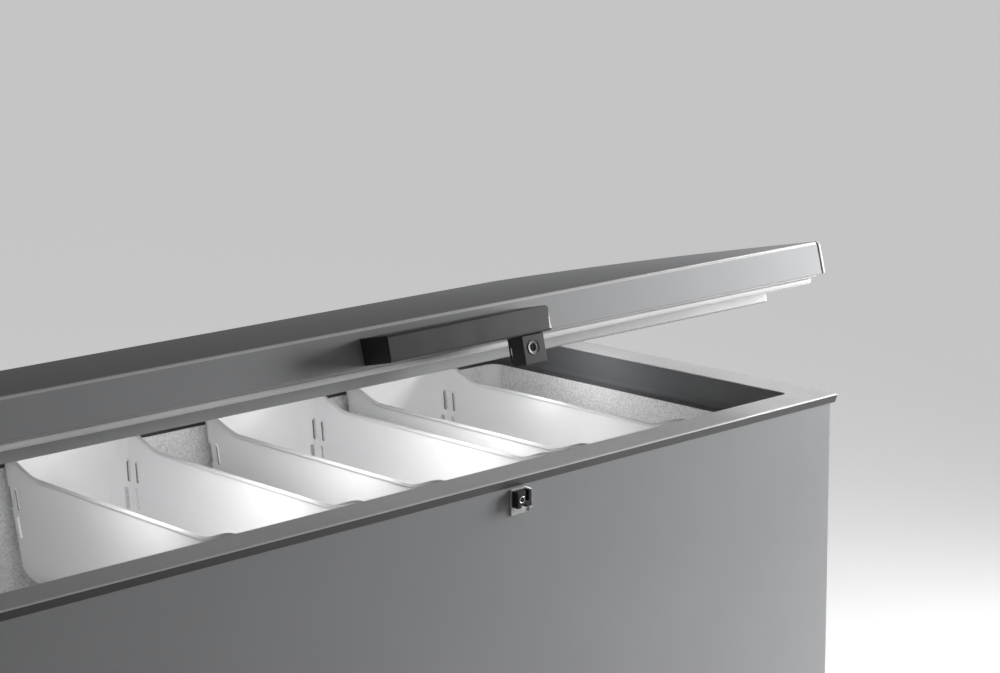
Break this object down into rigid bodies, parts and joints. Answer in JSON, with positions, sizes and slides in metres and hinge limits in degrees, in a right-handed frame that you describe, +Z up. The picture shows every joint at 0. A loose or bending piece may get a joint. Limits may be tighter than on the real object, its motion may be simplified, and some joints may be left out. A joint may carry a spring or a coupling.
{
  "type": "chest freezer",
  "caption": "Long chest freezer with a hinged crowned lid, front handle and key lock, hanging storage bins, a stepped lined interior and swivel casters.",
  "frame": {"origin": "middle of the footprint of the whole freezer, on the floor under the casters, with the lid at its resting angle", "axes": "+X along the length towards the compressor end, +Y from the front to the hinges, +Z up"},
  "size_m": [1.408, 0.7454, 0.995],
  "materials": {
    "cabinet_paint": "satin",
    "rim_paint": "satin",
    "lid_paint": "satin",
    "galvanised": "satin",
    "collar_plastic": "matte",
    "embossed_liner": "satin",
    "foam": "matte",
    "copper": "satin",
    "tube_black": "satin",
    "compressor_black": "satin",
    "rubber_black": "matte",
    "black_plastic": "matte",
    "dark_plastic": "satin",
    "white_plastic": "satin",
    "lens": "gloss",
    "zinc": "satin",
    "strike_metal": "satin",
    "spring_steel": "satin",
    "cap_plastic": "satin",
    "lid_liner_plastic": "satin",
    "frame_plastic": "satin",
    "gasket_rubber": "matte",
    "handle_plastic": "matte",
    "lock_plastic": "matte",
    "lock_metal": "polished",
    "bin_plastic": "gloss",
    "wheel_rubber": "matte",
    "brake_plastic": "satin"
  },
  "bodies": {
    "cabinet": {"outer_shell": "cabinet_paint", "rear_panel": "galvanised", "bottom_pan": "galvanised", "rim_frame": "rim_paint", "inner_collar": "collar_plastic", "inner_liner": "embossed_liner", "cabinet_foam": "foam", "evaporator_coil": "copper", "condenser_coil": "tube_black", "compressor": "compressor_black", "compressor_plate": "galvanised", "compressor_grommets": "rubber_black", "start_relay": "black_plastic", "filter_drier": "copper", "refrigerant_pipes": "copper", "side_grille": "black_plastic", "rear_cover": "galvanised", "panel_screws": "zinc", "control_panel": "dark_plastic", "thermostat_body": "white_plastic", "indicator_lights": "lens", "power_inlet": "black_plastic", "drain_tube": "white_plastic", "lock_strike": "strike_metal", "strike_screws": "zinc", "hinge_brackets": "zinc", "hinge_pins": "zinc", "hinge_springs": "spring_steel", "hinge_screws": "zinc", "caster_plates": "zinc"},
    "lid": {"lid_skin": "lid_paint", "lid_end_cap_left": "cap_plastic", "lid_end_cap_right": "cap_plastic", "lid_foam": "foam", "lid_liner": "lid_liner_plastic", "lid_frame": "frame_plastic", "lid_gasket": "gasket_rubber", "hinge_arms": "zinc", "arm_screws": "zinc", "handle": "handle_plastic", "lock_housing": "lock_plastic"},
    "lock": {"lock_cylinder": "lock_metal", "lock_cam": "zinc"},
    "knob": {"thermostat_knob": "black_plastic"},
    "plug": {"drain_plug": "rubber_black"},
    "bin_left": {"bin_left": "bin_plastic"},
    "bin_middle": {"bin_middle": "bin_plastic"},
    "bin_right": {"bin_right": "bin_plastic"},
    "fork_front_left": {"caster_fork_front_left": "zinc"},
    "wheel_front_left": {"caster_wheel_front_left": "wheel_rubber"},
    "fork_front_right": {"caster_fork_front_right": "zinc"},
    "wheel_front_right": {"caster_wheel_front_right": "wheel_rubber"},
    "fork_rear_left": {"caster_fork_rear_left": "zinc"},
    "wheel_rear_left": {"caster_wheel_rear_left": "wheel_rubber"},
    "fork_rear_right": {"caster_fork_rear_right": "zinc"},
    "wheel_rear_right": {"caster_wheel_rear_right": "wheel_rubber"},
    "brake_front_left": {"caster_brake_left": "brake_plastic"},
    "brake_front_right": {"caster_brake_right": "brake_plastic"}
  },
  "joints": [
    {"name": "lid_hinge", "type": "hinge", "parent": "cabinet", "child": "lid", "pos_m": [0, 0.3666, 0.7557], "axis": [-1, 0, 0], "range_deg": [-12.7, 62], "stiffness_Nm_per_rad": 97, "springref_deg": 67.95},
    {"name": "lock_turn", "type": "hinge", "parent": "lid", "child": "lock", "pos_m": [0.0925, -0.36827, 0.9495], "axis": [0, 0.9755, -0.2198], "range_deg": [0, 90]},
    {"name": "knob_turn", "type": "hinge", "parent": "cabinet", "child": "knob", "pos_m": [0.6099, -0.3394, 0.18], "axis": [0, -1, 0], "range_deg": [0, 270]},
    {"name": "plug_lift", "type": "slide", "parent": "cabinet", "child": "plug", "axis": [0, 0, 1], "range_m": [0, 0.03]},
    {"name": "bin_left_slide", "type": "slide", "parent": "cabinet", "child": "bin_left", "axis": [1, 0, 0], "range_m": [-0.352, 0.059]},
    {"name": "bin_middle_slide", "type": "slide", "parent": "cabinet", "child": "bin_middle", "axis": [1, 0, 0], "range_m": [-0.059, 0.025]},
    {"name": "bin_right_slide", "type": "slide", "parent": "cabinet", "child": "bin_right", "axis": [1, 0, 0], "range_m": [-0.025, 0.108]},
    {"name": "swivel_front_left", "type": "hinge", "parent": "cabinet", "child": "fork_front_left", "pos_m": [-0.624, -0.2634, 0.061], "axis": [0, 0, 1], "continuous": true},
    {"name": "roll_front_left", "type": "hinge", "parent": "fork_front_left", "child": "wheel_front_left", "pos_m": [-0.624, -0.2474, 0.025], "axis": [1, 0, 0], "continuous": true},
    {"name": "swivel_front_right", "type": "hinge", "parent": "cabinet", "child": "fork_front_right", "pos_m": [0.624, -0.2634, 0.061], "axis": [0, 0, 1], "continuous": true},
    {"name": "roll_front_right", "type": "hinge", "parent": "fork_front_right", "child": "wheel_front_right", "pos_m": [0.624, -0.2474, 0.025], "axis": [1, 0, 0], "continuous": true},
    {"name": "swivel_rear_left", "type": "hinge", "parent": "cabinet", "child": "fork_rear_left", "pos_m": [-0.624, 0.2766, 0.061], "axis": [0, 0, 1], "continuous": true},
    {"name": "roll_rear_left", "type": "hinge", "parent": "fork_rear_left", "child": "wheel_rear_left", "pos_m": [-0.624, 0.2926, 0.025], "axis": [1, 0, 0], "continuous": true},
    {"name": "swivel_rear_right", "type": "hinge", "parent": "cabinet", "child": "fork_rear_right", "pos_m": [0.624, 0.2766, 0.061], "axis": [0, 0, 1], "continuous": true},
    {"name": "roll_rear_right", "type": "hinge", "parent": "fork_rear_right", "child": "wheel_rear_right", "pos_m": [0.624, 0.2926, 0.025], "axis": [1, 0, 0], "continuous": true},
    {"name": "brake_left", "type": "hinge", "parent": "fork_front_left", "child": "brake_front_left", "pos_m": [-0.624, -0.2444, 0.054], "axis": [1, 0, 0], "range_deg": [-8, 0]},
    {"name": "brake_right", "type": "hinge", "parent": "fork_front_right", "child": "brake_front_right", "pos_m": [0.624, -0.2444, 0.054], "axis": [1, 0, 0], "range_deg": [-8, 0]}
  ]
}
